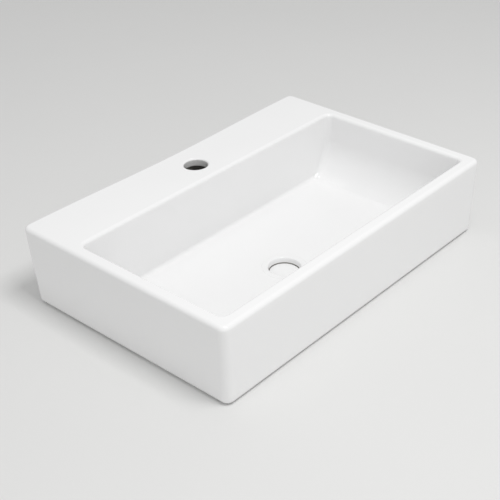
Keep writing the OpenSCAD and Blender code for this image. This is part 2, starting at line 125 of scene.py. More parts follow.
finishes = {
    # vitreous china under fired glaze: white, hard and glassy. The glaze sags a little as it melts,
    # so long waves bend its reflections, and a fine orange peel stays on top
    "glazedChina": {"colours": ("#F1F1F1", "#F3F3F3"), "patch": 70, "roughness": (0.05, 0.09), "smear": 18,
                    "bumps": [(60, 0.08, "place"), (9, 0.002, "place")]},
    # the same glaze as a thin sprayed coat in the hidden cavity: duller and lumpier
    "sprayedGlaze": {"colours": ("#E9E8E4", "#F0EFEC"), "patch": 30, "roughness": (0.16, 0.34), "smear": 9,
                     "bumps": [(22, 0.12, "place"), (3, 0.03, "place")]},
    # the tap hole's wall below its lip: a greyer, duller coat than the glaze on the deck
    "thinGlaze": {"colours": ("#D2D2D1", "#DCDCDB"), "patch": 8, "roughness": (0.2, 0.36), "smear": 4,
                  "bumps": [(6, 0.05, "place"), (1.5, 0.01, "place")]},
    # china ground flat on a wheel after firing: cream, dry and porous, scratched all one way
    "groundChina": {"colours": ("#DDD6C8", "#EDE8DD"), "patch": 9, "roughness": (0.6, 0.82), "smear": 2.5,
                    "bumps": [(0.7, 0.05, "marks"), (0.5, 0.03, "place")],
                    "stretch": (0.12, 1, 1), "turn": 24},
    # stoved enamel on brass: a white paint skin that flows smooth, with a much finer peel
    "stovedEnamel": {"colours": ("#F0F0F0", "#F2F2F2"), "patch": 20, "roughness": (0.08, 0.13), "smear": 5,
                     "bumps": [(20, 0.01, "place"), (1.6, 0.003, "place")]},
    # moulded nitrile rubber: near black, matt, with a fine dusted grain
    "mouldedNitrile": {"colours": ("#1B1B1B", "#262626"), "patch": 4, "roughness": (0.55, 0.72), "smear": 1.6,
                       "bumps": [(0.5, 0.02, "place")]},
    # moulded silicone rubber: grey, a little shinier than nitrile
    "mouldedSilicone": {"colours": ("#55565A", "#616266"), "patch": 4, "roughness": (0.42, 0.56),
                        "smear": 1.6, "bumps": [(0.5, 0.01, "place")]},
    # stamped polyethylene sheet: milky and waxy
    "polyethylene": {"colours": ("#DEDDD6", "#E9E8E2"), "patch": 6, "roughness": (0.32, 0.44), "smear": 2,
                     "bumps": [(1.0, 0.01, "place")]},
    # injection moulded acetal: white, slick, with faint flow marks
    "mouldedAcetal": {"colours": ("#E6E6E3", "#EEEEEB"), "patch": 6, "roughness": (0.24, 0.32), "smear": 2,
                      "bumps": [(0.8, 0.006, "place")]},
    # the same acetal tinted yellow, which tells the latch from the tube
    "tintedAcetal": {"colours": ("#C9A83C", "#D2B24A"), "patch": 3, "roughness": (0.26, 0.34), "smear": 1,
                     "bumps": [(0.8, 0.006, "place")]},
    # brass turned from bar: yellow, with rings of tool marks drawn a little coarser than they are
    "turnedBrass": {"colours": ("#C8A25A", "#D9B872"), "patch": 5, "roughness": (0.2, 0.34), "smear": 0.35,
                    "bumps": [(0.35, 0.01, "marks")], "metal": True},
    # nickel plate over turned brass: warm white metal that softens the tool marks
    "nickelPlate": {"colours": ("#C4C0B6", "#D2CFC8"), "patch": 5, "roughness": (0.12, 0.2), "smear": 0.3,
                    "bumps": [(0.3, 0.003, "marks")], "metal": True},
    # painted shade: the waste's brass seat below the plug, coloured dark grey brown for the shade in the
    # narrow gap round the plug
    "wornSeat": {"colours": ("#8E8B86", "#A5A29C"), "patch": 3, "roughness": (0.35, 0.5), "smear": 0.3,
                 "bumps": [(0.3, 0.004, "marks")], "metal": True},
    # stainless steel rod, turned: cool grey
    "turnedSteel": {"colours": ("#B9BABC", "#C7C8CA"), "patch": 5, "roughness": (0.18, 0.3), "smear": 0.3,
                    "bumps": [(0.3, 0.005, "marks")], "metal": True},
    # drawn spring wire: darker, with fine die lines
    "drawnWire": {"colours": ("#A9ABAF", "#BABCC0"), "patch": 3, "roughness": (0.22, 0.36), "smear": 0.2,
                  "bumps": [(0.2, 0.003, "marks")], "metal": True},
    # matt emulsion on the studio's floor
    "paintedFloor": {"colours": ("#DFDFDE", "#E1E1E0"), "patch": 300, "roughness": (0.65, 0.75), "smear": 60,
                     "bumps": [(3, 0.02, "place")]},
}

noise = {
    "detail": 3.0, "bumpDetail": 1.0,  # finer layers on top of the first
    "low": 0.3, "high": 0.7,  # nearly all of its values lie between these
}


def colour(code):  # sRGB hex to linear RGBA
    c = np.array([int(code[i:i + 2], 16) for i in (1, 3, 5)]) / 255
    linear = np.where(c <= 0.04045, c / 12.92, ((c + 0.055) / 1.055) ** 2.4)
    return (*linear.tolist(), 1.0)


def addNode(tree, kind, inputs=None, **settings):
    # one node: settings are its own properties, inputs are values or sockets to link
    node = tree.nodes.new(kind)
    for name, value in settings.items():
        setattr(node, name, value)
    for name, value in (inputs or {}).items():
        if isinstance(value, bpy.types.NodeSocket):
            tree.links.new(value, node.inputs[name])
        else:
            node.inputs[name].default_value = value
    return node


def makeFinish(name, f):
    # colour is one noise between two tints, roughness a second one between two values, and each
    # bump is a noise whose height adds to the one below it
    material = bpy.data.materials.new(name)
    material.use_nodes = True
    tree = material.node_tree
    tree.nodes.clear()
    place = addNode(tree, "ShaderNodeTexCoord").outputs["Object"]
    where = {"place": place, "marks": place}
    shader = {"IOR": 1.5}
    if "metal" in f:
        # tool marks run in rings: the distance from the waste's axis and the height stand for the place
        shader = {"Metallic": 1.0}
        centred = addNode(tree, "ShaderNodeVectorMath", {0: place, 1: (0, -drainY * mm, 0)}).outputs[0]
        flat = addNode(tree, "ShaderNodeVectorMath", {0: centred, 1: (1, 1, 0)},
                       operation="MULTIPLY").outputs[0]
        radius = addNode(tree, "ShaderNodeVectorMath", {0: flat}, operation="LENGTH").outputs["Value"]
        height = addNode(tree, "ShaderNodeSeparateXYZ", {0: centred}).outputs["Z"]
        where["marks"] = addNode(tree, "ShaderNodeCombineXYZ", {"X": radius, "Y": height}).outputs[0]
    if "stretch" in f:
        where["marks"] = addNode(tree, "ShaderNodeMapping", {
            "Vector": place, "Scale": f["stretch"], "Rotation": (0, 0, math.radians(f["turn"]))}).outputs[0]
    drift = addNode(tree, "ShaderNodeTexNoise", {
        "Vector": place, "Scale": 1 / (f["patch"] * mm), "Detail": noise["detail"]})
    low, high = (colour(code) for code in f["colours"])
    mix = addNode(tree, "ShaderNodeMix", {"Factor": drift.outputs[0], "A": low, "B": high}, data_type="RGBA")
    smear = addNode(tree, "ShaderNodeTexNoise", {
        "Vector": where["marks"], "Scale": 1 / (f["smear"] * mm), "Detail": noise["detail"]})
    low, high = f["roughness"]
    rough = addNode(tree, "ShaderNodeMapRange", {
        "Value": smear.outputs[0], "From Min": noise["low"], "From Max": noise["high"],
        "To Min": low, "To Max": high})
    surface = addNode(tree, "ShaderNodeBsdfPrincipled", {
        **shader, "Base Color": mix.outputs["Result"], "Roughness": rough.outputs[0]})
    below = {}
    for size, height, follows in f["bumps"]:
        lumps = addNode(tree, "ShaderNodeTexNoise", {
            "Vector": where[follows], "Scale": 1 / (size * mm), "Detail": noise["bumpDetail"]})
        bump = addNode(tree, "ShaderNodeBump", {
            "Height": lumps.outputs[0], "Distance": height * mm, "Strength": 1.0, **below})
        below = {"Normal": bump.outputs[0]}
    tree.links.new(bump.outputs[0], surface.inputs["Normal"])
    addNode(tree, "ShaderNodeOutputMaterial", {"Surface": surface.outputs[0]})
    return material


materials = {name: makeFinish(name, f) for name, f in finishes.items()}
print("materials made:", len(materials))


# SURFACES: each is a grid of points, rows by columns, worked out as whole arrays

meshing = {
    "columns": 96, "filletSteps": 5, "fewSteps": 3, "rowsPerPitch": 8, "nutColumns": 192,
    "barSteps": (4, 2, 2),  # steps in each corner, along a long side and along a short side
    "spareLeg": 0.4, "spareFillet": 0.6,  # the point beside a fillet, as shares of the leg and the fillet
    "onRadius": 0.01,  # a point this near a thread's radius lies on the thread
    "gridClear": 0.6,  # grid points keep this share of their spacing from an edge
    "same": 1e-6, "weld": 0.002,  # nearer points are one: in a flat face, and where patches meet
    "sharp": 20,  # degrees past which a nut's edges stay crisp
}


def fullTurn(count):  # even angles once round a circle
    return np.arange(count) * 2 * math.pi / count


def ease(t):  # from 0 to 1, level at both ends
    return t * t * (3 - 2 * t)


def makeRing(corner, long, short):
    # walks once anticlockwise round a rectangle with round corners. mid is where the corner's
    # centre lies, as a share of the half sizes, and out is the outward normal
    mid, out = [], []
    for k, n in enumerate(np.array([(1, 0), (0, 1), (-1, 0), (0, -1)], float)):
        t = np.array([-n[1], n[0]])
        s = np.linspace(-1, 1, (short, long)[k % 2] + 1)[1:-1, None]
        a = math.pi / 2 * (k + np.linspace(0, 1, corner + 1))
        mid += [n + t * s, np.tile(n + t, (corner + 1, 1))]
        out += [np.tile(n, (len(s), 1)), np.stack([np.cos(a), np.sin(a)], 1)]
    return np.concatenate(mid), np.concatenate(out)


def outlines(ring, left, right, front, back, radius, height):
    # a point is its corner's centre plus the radius along the normal; one row for each height
    l, r, f, b, c, z = np.broadcast_arrays(*(np.asarray(v, float)[..., None]
                                             for v in (left, right, front, back, radius, height)))
    mid, out = ring
    x = (l + r) / 2 + mid[:, 0] * ((r - l) / 2 - c) + out[:, 0] * c
    y = (f + b) / 2 + mid[:, 1] * ((b - f) / 2 - c) + out[:, 1] * c
    return np.stack([x, y, np.broadcast_to(z, x.shape)], -1)


def circles(profile, centreY, angles):
    # a profile of radius and height, turned through the angles about an upright axis
    r, z = np.asarray(profile, float).T[:, :, None]
    heights = np.broadcast_to(z, (len(z), len(angles)))
    return np.stack([r * np.cos(angles), centreY + r * np.sin(angles), heights], -1)


def gridPatch(points, finish, flip=False, wrap=False):
    # quads between neighbouring rows and columns. The columns always close on themselves, and the
    # rows do with wrap. A face looks along its column's direction times its row's, or back with flip
    rows, cols = points.shape[:2]
    i, j = np.meshgrid(np.arange(rows if wrap else rows - 1), np.arange(cols), indexing="ij")
    down, right = (i + 1) % rows, (j + 1) % cols
    quads = np.stack([i * cols + j, i * cols + right, down * cols + right, down * cols + j], -1)
    quads = quads.reshape(-1, 4)
    return points.reshape(-1, 3), quads[:, ::-1] if flip else quads, finish


def roundedProfile(corners, steps=meshing["filletSteps"]):
    # each corner (radius, height, fillet) becomes an arc that both its legs touch, with one more
    # point a little way along each leg, which keeps the flat beside it flat when shaded
    p = np.array(corners, float)
    found = []
    for i, (here, fillet) in enumerate(zip(p[:, :2], p[:, 2])):
        if fillet == 0:
            found.append(here[None])
            continue
        legs = np.array([p[i - 1, :2], p[(i + 1) % len(p), :2]]) - here
        lengths = np.linalg.norm(legs, axis=1, keepdims=True)
        legs = legs / lengths
        half = math.acos(np.clip(legs[0] @ legs[1], -1, 1)) / 2
        reach = fillet / math.tan(half)
        centre = here + legs.sum(0) / np.linalg.norm(legs.sum(0)) * fillet / math.sin(half)
        sweep = math.pi - 2 * half
        t = np.linspace(0, 1, steps + 1)[:, None]
        start, end = here + legs * reach - centre
        arc = centre + (np.sin((1 - t) * sweep) * start + np.sin(t * sweep) * end) / math.sin(sweep)
        spare = np.clip((lengths - reach) * meshing["spareLeg"], 0, fillet * meshing["spareFillet"])
        beside = here + legs * (reach + spare)
        found += [beside[:1], arc, beside[1:]]
    return np.concatenate(found)


def lathe(corners, finish, columns=meshing["columns"], closed=True, steps=meshing["filletSteps"]):
    # a solid of revolution about the waste's axis; the corners run anticlockwise round its half
    # section, and an open one starts and ends on the axis
    return gridPatch(circles(roundedProfile(corners, steps), drainY, fullTurn(columns)), finish, wrap=closed)


def threadedLathe(corners, finish, threads, columns=meshing["columns"]):
    # a lathe whose upright faces at a thread's radius dip by its depth times an eased triangle
    # wave of height over pitch minus the turn. The dip fades out at both ends of each stretch
    profile = roundedProfile(corners)
    step = min(t["pitch"] for t in threads) / meshing["rowsPerPitch"]
    onThread = [np.abs(profile[:, 0] - t["radius"]) < meshing["onRadius"] for t in threads]
    rows = []
    for k in range(len(profile)):
        a, b = profile[k], profile[(k + 1) % len(profile)]
        both = any(on[k] and on[(k + 1) % len(profile)] for on in onThread)
        count = max(1, math.ceil(abs(b[1] - a[1]) / step)) if both else 1
        rows.append(a + (b - a) * np.arange(count)[:, None] / count)
    profile = np.concatenate(rows)
    angles = fullTurn(columns)
    points = circles(profile, 0, angles)
    r, z = profile[:, :1], profile[:, 1:]
    for t in threads:
        turn = (z / t["pitch"] - angles / (2 * math.pi)) % 1
        fade = sum(np.clip(np.minimum(z - low, high - z) / t["fade"], 0, 1) for low, high in t["stretches"])
        cut = np.abs(r - t["radius"]) < meshing["onRadius"]
        dip = cut * t["depth"] * ease(np.abs(2 * turn - 1)) * fade
        points[..., :2] *= ((r - dip) / r)[..., None]
    points[..., 1] += drainY
    return gridPatch(points, finish, wrap=True)


def spoke(across, low, high, inner, outer, turn, finish, ramp=0, soft=0.2):
    # a bar that stands out from the waste's axis: a rounded section carried along the radius and
    # closed to its middle at both ends. ramp lifts one side of its low edge
    ring = makeRing(*meshing["barSteps"])
    section = outlines(ring, -across / 2, across / 2, low, high, soft, 0)
    side, up = section[..., 0].ravel(), section[..., 1].ravel()
    up = up + ramp * (side / across + 0.5) * (high - up) / (high - low)
    reach = np.array([inner, inner, outer, outer])[:, None]
    size = np.array([0, 1, 1, 0])[:, None]
    side, up = side * size, (low + high) / 2 + (up - (low + high) / 2) * size
    x = reach * math.cos(turn) - side * math.sin(turn)
    y = reach * math.sin(turn) + side * math.cos(turn)
    return gridPatch(np.stack([x, drainY + y, up], -1), finish)


def hexagon(flats, bore, low, high, finish, chamfer=30, lead=0.9, blunt=0.993, face=0.98):
    # a nut: its outline swings with the angle between the flats and the corners, and a cone at
    # the chamfer's slope cuts both ends. lead opens the bore's ends, blunt trims the corners, and
    # face is the share of the flats' radius that the end's flat takes
    angles = fullTurn(meshing["nutColumns"])
    sixth = math.pi / 3
    edge = flats / 2 / np.cos(angles % sixth - sixth / 2)
    edge = np.minimum(edge, flats / 2 / math.cos(sixth / 2) * blunt)
    cone = flats / 2 * face
    drop = (edge - cone) * math.tan(math.radians(chamfer))
    rows = [(bore, low + lead), (bore + lead, low), (cone, low), (edge, low + drop),
            (edge, high - drop), (cone, high), (bore + lead, high), (bore, high - lead)]
    r, z = (np.stack([np.broadcast_to(row[k], len(angles)) for row in rows]) for k in (0, 1))
    return gridPatch(np.stack([r * np.cos(angles), drainY + r * np.sin(angles), z], -1), finish, wrap=True)


def flatPatch(loops, finish, up, spacing):
    # a level face with holes: the first loop is its edge, the others are its holes, and points
    # on a square grid inside keep its triangles even
    z = loops[0][0, 2]
    edge = np.concatenate([loop[:, :2] for loop in loops])
    start, links = 0, []
    for loop in loops:
        k = np.arange(len(loop))
        links.append(np.stack([k, (k + 1) % len(loop)], 1) + start)
        start += len(loop)
    low, high = edge.min(0), edge.max(0)
    gx, gy = np.meshgrid(*(np.arange(a + spacing, b, spacing) for a, b in zip(low, high)))
    inner = np.stack([gx.ravel(), gy.ravel()], 1)
    away = np.sqrt(((inner[:, None] - edge[None]) ** 2).sum(-1)).min(1)
    inner = inner[away > spacing * meshing["gridClear"]]
    places, links = np.concatenate([edge, inner]).tolist(), np.concatenate(links).tolist()
    found = delaunay_2d_cdt(places, links, [], 1, meshing["same"])
    flat, tris = np.array([tuple(v) for v in found[0]]), np.array(found[2])
    middle = flat[tris].mean(1)
    for loop in loops[1:]:
        # the holes are convex and run anticlockwise, so inside one is left of all its edges
        along, to = np.roll(loop, -1, 0)[:, :2] - loop[:, :2], middle[:, None] - loop[None, :, :2]
        keep = ~(along[:, 0] * to[..., 1] > along[:, 1] * to[..., 0]).all(1)
        tris, middle = tris[keep], middle[keep]
    a, b, c = (flat[tris[:, k]] for k in range(3))
    turn = (b[:, 0] - a[:, 0]) * (c[:, 1] - a[:, 1]) - (b[:, 1] - a[:, 1]) * (c[:, 0] - a[:, 0])
    wrong = (turn > 0) != up
    tris[wrong] = tris[wrong][:, ::-1]
    return np.column_stack([flat, np.full(len(flat), z)]), tris, finish


def makePiece(name, patches, body, node, sharp=None, shape=None):
    # joins patches (points, faces, finish) into one closed mesh, welds their shared edges, and
    # lets shape bend the welded points; sharp is the angle past which an edge stays crisp
    used = list(dict.fromkeys(finish for _, _, finish in patches))
    faces, marks, start = [], [], 0
    for points, polygons, finish in patches:
        faces += (polygons + start).tolist()
        marks += [used.index(finish)] * len(polygons)
        start += len(points)
    mesh = bpy.data.meshes.new(name)
    mesh.from_pydata((np.concatenate([p for p, _, _ in patches]) * mm).tolist(), [], faces)
    mesh.polygons.foreach_set("material_index", marks)
    work = bmesh.new()
    work.from_mesh(mesh)
    bmesh.ops.remove_doubles(work, verts=work.verts, dist=meshing["weld"] * mm)
    bmesh.ops.delete(work, geom=[v for v in work.verts if not v.link_faces], context="VERTS")
    openEdges = sum(len(e.link_faces) != 2 for e in work.edges)
    work.to_mesh(mesh)
    work.free()
    if shape:
        flat = np.empty(len(mesh.vertices) * 3, np.float32)
        mesh.vertices.foreach_get("co", flat)
        mesh.vertices.foreach_set("co", (shape(flat.reshape(-1, 3) / mm) * mm).astype(np.float32).ravel())
    mesh.shade_smooth()
    if sharp:
        mesh.set_sharp_from_angle(angle=math.radians(sharp))
    mesh.update()
    for finish in used:
        mesh.materials.append(materials[finish])
    piece = bpy.data.objects.new(name, mesh)
    bpy.context.scene.collection.objects.link(piece)
    if body:
        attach(piece, body)
    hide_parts(node)
    print(name, "made:", len(mesh.polygons), "faces,", openEdges, "open edges")
    return piece


# BASIN: one slip-cast piece. From the waste's recess underneath its surface runs up through the
# drain, over the floor, up the bowl's walls, over the rim and down the outside to the foot

basin = {
    "cornerR": 11, "topEdgeR": 6, "baseEdgeR": 8, "sideLean": 4.8, "frontLean": 0.3, "backLean": 9.5,
    "sideRim": 19, "frontRim": 19.5, "deck": 94, "deckThick": 12,
    "bowlCornerR": 10, "bowlEdgeR": 5, "floorZ": 16, "endCurveW": 34, "endCurveH": 57, "endFillet": 10,
    "longCurveR": 5, "floorPower": 4,
    "holeR": 23.75, "seatR": 32.04, "seatNeckZ": 5.8, "seatEdgeZ": 7.5, "seatEdgeR": 0.4,
    "seatLip": 0.15, "seatFlat": 0.45, "recessR": 38, "recessH": 1.5, "recessEdgeR": 0.5, "underLip": 0.8,
    "tapLip": 3.2, "tapUnderLip": 0.8, "tapGlazed": 0.8,  # the share of the lip that the full glaze covers
    "skirt": 10, "backWall": 11, "cavityEnd": 16, "cavityCorner": 8, "cavityR": 12,
    "footW": 22, "hollowH": 3, "hollowX": 60, "hollowCorner": 12, "hollowEdgeR": 1.5,
    "sag": 2.4, "sagStartY": 70, "pinch": 2.0,
    "support": 0.6, "flatSpacing": 11,  # a flat face's first point past a fillet, and its grid
    "cornerSteps": 14, "longSteps": 76, "shortSteps": 40, "footRows": 52, "wallRows": 8, "outerRows": 14,
    "floorRows": 30, "floorCrowd": 1.15, "quarterSteps": 10, "tapSteps": 8,
    "innerSteps": (8, 64, 12), "cavityRows": 11,  # the same three steps for the cavity and the hollows
}


def endInset(z):
    # how far the end wall's foot stands in at height z: a big arc that starts level with the wall
    # and meets the floor at an angle, where a small fillet softens the corner
    w, h, fillet = basin["endCurveW"], basin["endCurveH"], basin["endFillet"]
    radius = (w * w + h * h) / (2 * w)
    slope = math.acos(h / radius)
    rise = z - basin["floorZ"]
    arc = radius - np.sqrt(radius ** 2 - np.clip(h - rise, 0, h) ** 2)
    soft = w + fillet * math.tan(slope / 2) - np.sqrt(fillet ** 2 - np.clip(fillet - rise, 0, fillet) ** 2)
    return np.where(rise < fillet * (1 - math.cos(slope)), soft, arc)


def longInset(z):
    # the same for the front and back walls, whose foot is a quarter circle
    radius = basin["longCurveR"]
    return radius - np.sqrt(radius ** 2 - np.clip(radius - (z - basin["floorZ"]), 0, radius) ** 2)


def bowlOutline(ring, z, grow):
    # the inside of the rims, moved in by the foot's inset and out by grow
    b = basin
    end, long = endInset(z) - grow, longInset(z) - grow
    side = basinHigh[0] - b["sideRim"] - end
    return outlines(ring, -side, side, basinLow[1] + b["frontRim"] + long, basinHigh[1] - b["deck"] - long,
                    b["bowlCornerR"] + grow, z)


def outerOutline(ring, z, inset):
    # the outside, whose walls lean in towards the base, moved in by inset
    b = basin
    low = np.clip(1 - z / (topZ - b["topEdgeR"]), 0, None)
    side = basinHigh[0] - b["sideLean"] * low - inset
    return outlines(ring, -side, side, basinLow[1] + b["frontLean"] * low + inset,
                    basinHigh[1] - b["backLean"] * low - inset, b["cornerR"] - inset, z)


def floorHeight(x, y):
    # the floor rises from the drain to the foot of the walls. The share of the way is measured
    # along the line from the drain to a superellipse inside the foot, and eased at both ends
    b = basin
    start = b["seatR"] + b["seatLip"]
    halfX = basinHigh[0] - b["sideRim"] - endInset(np.float64(b["floorZ"]))
    halfY = (basinHigh[1] - b["deck"] - basinLow[1] - b["frontRim"]) / 2 - b["longCurveR"]
    away, power = np.hypot(x, y - drainY), b["floorPower"]
    cosine, sine = np.abs(x) / away, np.abs(y - drainY) / away
    reach = ((cosine / halfX) ** power + (sine / halfY) ** power) ** (-1 / power)
    return drainZ + (b["floorZ"] - drainZ) * ease(np.clip((away - start) / (reach - start), 0, 1))


def fireWarp(points):
    # the kiln lets the long deck sink over its cavity and draws its back edge in: a bell along the
    # width, eased in from the bowl to the back edge, and fading down to the base
    b = basin
    bell = (1 - (points[:, 0] / basinHigh[0]) ** 2) ** 3 * (points[:, 2] / topZ) ** 2
    share = ease(np.clip((points[:, 1] - b["sagStartY"]) / (basinHigh[1] - b["sagStartY"]), 0, 1))
    inwards, down = b["pinch"] * bell * share ** 3, b["sag"] * bell * share
    return points - np.stack([np.zeros(len(bell)), inwards, down], 1)


def makeBasin():
    b = basin
    ring = makeRing(b["cornerSteps"], b["longSteps"], b["shortSteps"])
    keep = b["support"]

    # a quarter circle in shares of its radius: swell grows from 0 to 1, and fade falls from 1 to 0
    quarter = np.linspace(0, math.pi / 2, b["quarterSteps"] + 1)
    swell, fade = 1 - np.cos(quarter), 1 - np.sin(quarter)

    # bowl: foot, wall and rounded edge, from the floor up
    rise = b["endCurveH"] * (1 - np.cos(np.linspace(0, math.pi / 2, b["footRows"])))
    wall = np.linspace(b["floorZ"] + b["endCurveH"], topZ - b["bowlEdgeR"], b["wallRows"])[1:-1]
    edge = b["bowlEdgeR"]
    z = np.concatenate([b["floorZ"] + rise, wall, topZ - edge * fade, [topZ]])
    grow = np.concatenate([np.zeros(len(rise) + len(wall)), edge * swell, [edge + keep]])
    bowlRows = bowlOutline(ring, z, grow)

    # drain: recess underneath, hole, seat and lip, each column pointing at its own place on the foot
    foot = bowlRows[0]
    angles = np.arctan2(foot[:, 1] - drainY, foot[:, 0])
    under, soft = b["underLip"], b["recessEdgeR"]
    drain = circles(roundedProfile([
        (b["recessR"] + under + keep, 0, 0), (b["recessR"], 0, under), (b["recessR"], b["recessH"], soft),
        (b["holeR"], b["recessH"], under), (b["holeR"], b["seatNeckZ"], soft),
        (b["seatR"], b["seatEdgeZ"], b["seatEdgeR"]), (b["seatR"], drainZ, b["seatLip"]),
        (b["seatR"] + b["seatFlat"], drainZ, 0)]), drainY, angles)

    # floor: straight lines in plan from the lip to the foot, at the floor's height
    s = np.linspace(0, 1, b["floorRows"] + 1)[1:-1, None, None] ** b["floorCrowd"]
    floorRows = drain[-1] * (1 - s) + foot * s
    floorRows[..., 2] = floorHeight(floorRows[..., 0], floorRows[..., 1])
    bowl = np.concatenate([drain, floorRows, bowlRows])

    # outside: from the top edge down to the ground foot
    edge, base = b["topEdgeR"], b["baseEdgeR"]
    down = np.linspace(topZ - edge, base, b["outerRows"])[1:-1]
    z = np.concatenate([[topZ], topZ - edge * swell, down, base * fade, [0]])
    inset = np.concatenate([[edge + keep], edge * fade, np.zeros(len(down)), base * swell, [base + keep]])
    outside = outerOutline(ring, z, inset)

    # tap hole, through the deck
    tapY, tapR = tapMount["pos_m"][1] / mm, tapMount["dims"]["r_mm"]
    deckUnder = topZ - b["deckThick"]
    tap = circles(roundedProfile([
        (tapR + b["tapLip"] + keep, topZ, 0), (tapR, topZ, b["tapLip"]), (tapR, deckUnder, b["tapUnderLip"]),
        (tapR + b["tapUnderLip"] + keep / 2, deckUnder, 0)], b["tapSteps"]),
        tapY, fullTurn(meshing["columns"]))
    lipRows = int((tap[:, 0, 2] > topZ - b["tapLip"] * b["tapGlazed"]).sum())

    # cavity under the deck
    inner, roof = makeRing(*b["innerSteps"]), b["cavityR"]
    wallRows = np.linspace(under, deckUnder - roof, b["cavityRows"])[1:-1]
    z = np.concatenate([[0], under * swell, wallRows, deckUnder - roof * fade, [deckUnder]])
    grow = np.concatenate([[under + keep / 2], under * fade, np.zeros(len(wallRows)), -roof * swell,
                           [-roof - keep / 4]])
    side = basinHigh[0] - b["sideLean"] - b["cavityEnd"] + grow
    front = basinHigh[1] - b["deck"] + b["backWall"] - grow
    back = basinHigh[1] - b["backLean"] * (1 - z / topZ) - b["skirt"] + grow
    corner = b["cavityCorner"] + np.maximum(grow, -roof / 2)  # the roof's fillet must not use it up
    cavity = outlines(inner, -side, side, front, back, corner, z)

    # two shallow hollows that leave the ground foot and the land round the waste
    edge = b["hollowEdgeR"]
    z = np.concatenate([[0], under * swell, b["hollowH"] - edge * fade, [b["hollowH"]]])
    grow = np.concatenate([[under + keep], under * fade, -edge * swell, [-edge - keep]])
    ends = np.array([b["hollowX"], basinHigh[0] - b["sideLean"] - b["footW"]])
    front = basinLow[1] + b["frontLean"] + b["footW"] - grow
    back = basinHigh[1] - b["deck"] - b["footW"] / 2 + grow
    hollows = [outlines(inner, (way * ends).min() - grow, (way * ends).max() + grow, front, back,
                        b["hollowCorner"] + grow, z) for way in (-1, 1)]

    glaze, thin, bare, spacing = "glazedChina", "sprayedGlaze", "groundChina", b["flatSpacing"]
    makePiece("basinCasting", [
        gridPatch(bowl, glaze, flip=True), gridPatch(outside, glaze, flip=True),
        gridPatch(tap[:lipRows], glaze), gridPatch(tap[lipRows - 1:], "thinGlaze"),
        gridPatch(cavity, thin, flip=True), *(gridPatch(h, thin, flip=True) for h in hollows),
        flatPatch([outside[0], bowl[-1], tap[0]], glaze, True, spacing),
        flatPatch([outside[-1], bowl[0], cavity[0], *(h[0] for h in hollows)], bare, False, spacing),
        flatPatch([cavity[-1], tap[-1]], thin, False, spacing),
        *(flatPatch([h[-1]], thin, False, spacing) for h in hollows),
    ], "basin", "basin_body", shape=fireWarp)


makeBasin()


# WASTE: flange, throat and barrel in one turned brass casting under white enamel, with its brass
# seat below the plug painted dark as shade, and a spider whose hub holds the cartridge

waste = {
    "flangeR": 32, "flangeUnderZ": 8.3, "lipZ": 9.2, "lipR": 2.2, "mouthR": 23.4, "throatR": 22.4,
    "seatZ": 0.226, "seatFootZ": -3.569, "seatFootR": 1.0, "bareZ": 2.2, "seatMargin": 0.1,
    "neckR": 23.6, "neckTopZ": 6.6, "neckFootZ": -0.396, "flareZ": -2.691, "barrelR": 20.955, "boreR": 17.955,
    "tailZ": -55.5, "chamfer": 1, "reliefTop": -14.49, "reliefFoot": -15.99, "reliefR": 19.955,
    "crispR": 0.12, "fineR": 0.2, "softR": 0.4, "bendR": 0.6,
    "pitch": 2.309, "threadDepth": 1.35, "threadTop": -4.4, "fade": 1.4,
    "hubR": 9.45, "hubBoreR": 6.45, "hubTop": -13.9, "hubH": 4, "hubEdgeR": 0.5, "hubBoreEdgeR": 0.3,
    "hubColumns": 64, "arms": 4, "armW": 3, "armEdgeR": 0.6,
    "armRoot": 1.5, "armBury": 1.2,  # how deep an arm's ends reach into the hub and the barrel
}


def makeWaste():
    w = waste
    crisp, fine, soft, bend = w["crispR"], w["fineR"], w["softR"], w["bendR"]
    thread = {"radius": w["barrelR"], "pitch": w["pitch"], "depth": w["threadDepth"], "fade": w["fade"],
              "stretches": [(w["tailZ"] + w["chamfer"], w["reliefFoot"]), (w["reliefTop"], w["threadTop"])]}
    points, faces, paint = threadedLathe([
        (w["flangeR"], w["flangeUnderZ"], crisp), (w["flangeR"], drainZ, crisp),
        (w["mouthR"], w["lipZ"], w["lipR"]), (w["throatR"], w["bareZ"], 0), (w["throatR"], w["seatZ"], bend),
        (w["boreR"], w["seatFootZ"], w["seatFootR"]), (w["boreR"], w["tailZ"], soft),
        (w["barrelR"] - w["chamfer"], w["tailZ"], fine), (w["barrelR"], w["tailZ"] + w["chamfer"], fine),
        (w["barrelR"], w["reliefFoot"], crisp), (w["reliefR"], w["reliefFoot"], fine),
        (w["reliefR"], w["reliefTop"], fine), (w["barrelR"], w["reliefTop"], crisp),
        (w["barrelR"], w["flareZ"], bend), (w["neckR"], w["neckFootZ"], bend),
        (w["neckR"], w["neckTopZ"], soft)], "stovedEnamel", [thread])
    x, y, z = points[faces].mean(1).T
    # painted shade: the throat's faces below the plug's top, where the gap round the plug lies in shade, take
    # the dark seat finish
    seat = (np.hypot(x, y - drainY) < w["throatR"] + w["seatMargin"]) & (
        z < w["bareZ"]) & (z > w["seatFootZ"] - w["seatFootR"])
    hubFoot, edge, boreEdge = w["hubTop"] - w["hubH"], w["hubEdgeR"], w["hubBoreEdgeR"]
    hub = lathe([
        (w["hubBoreR"], hubFoot, boreEdge), (w["hubR"], hubFoot, edge), (w["hubR"], w["hubTop"], edge),
        (w["hubBoreR"], w["hubTop"], boreEdge)], "stovedEnamel", w["hubColumns"])
    arms = [spoke(w["armW"], hubFoot, w["hubTop"], w["hubBoreR"] + w["armRoot"], w["boreR"] + w["armBury"],
                  turn, "stovedEnamel", soft=w["armEdgeR"]) for turn in fullTurn(w["arms"])]
    makePiece("wasteBarrel", [(points, faces[~seat], paint), (points, faces[seat], "wornSeat"), hub, *arms],
              "basin", "waste_body")


makeWaste()


# FIXINGS under the ceramic: seal, rubber washer, slip washer and back nut

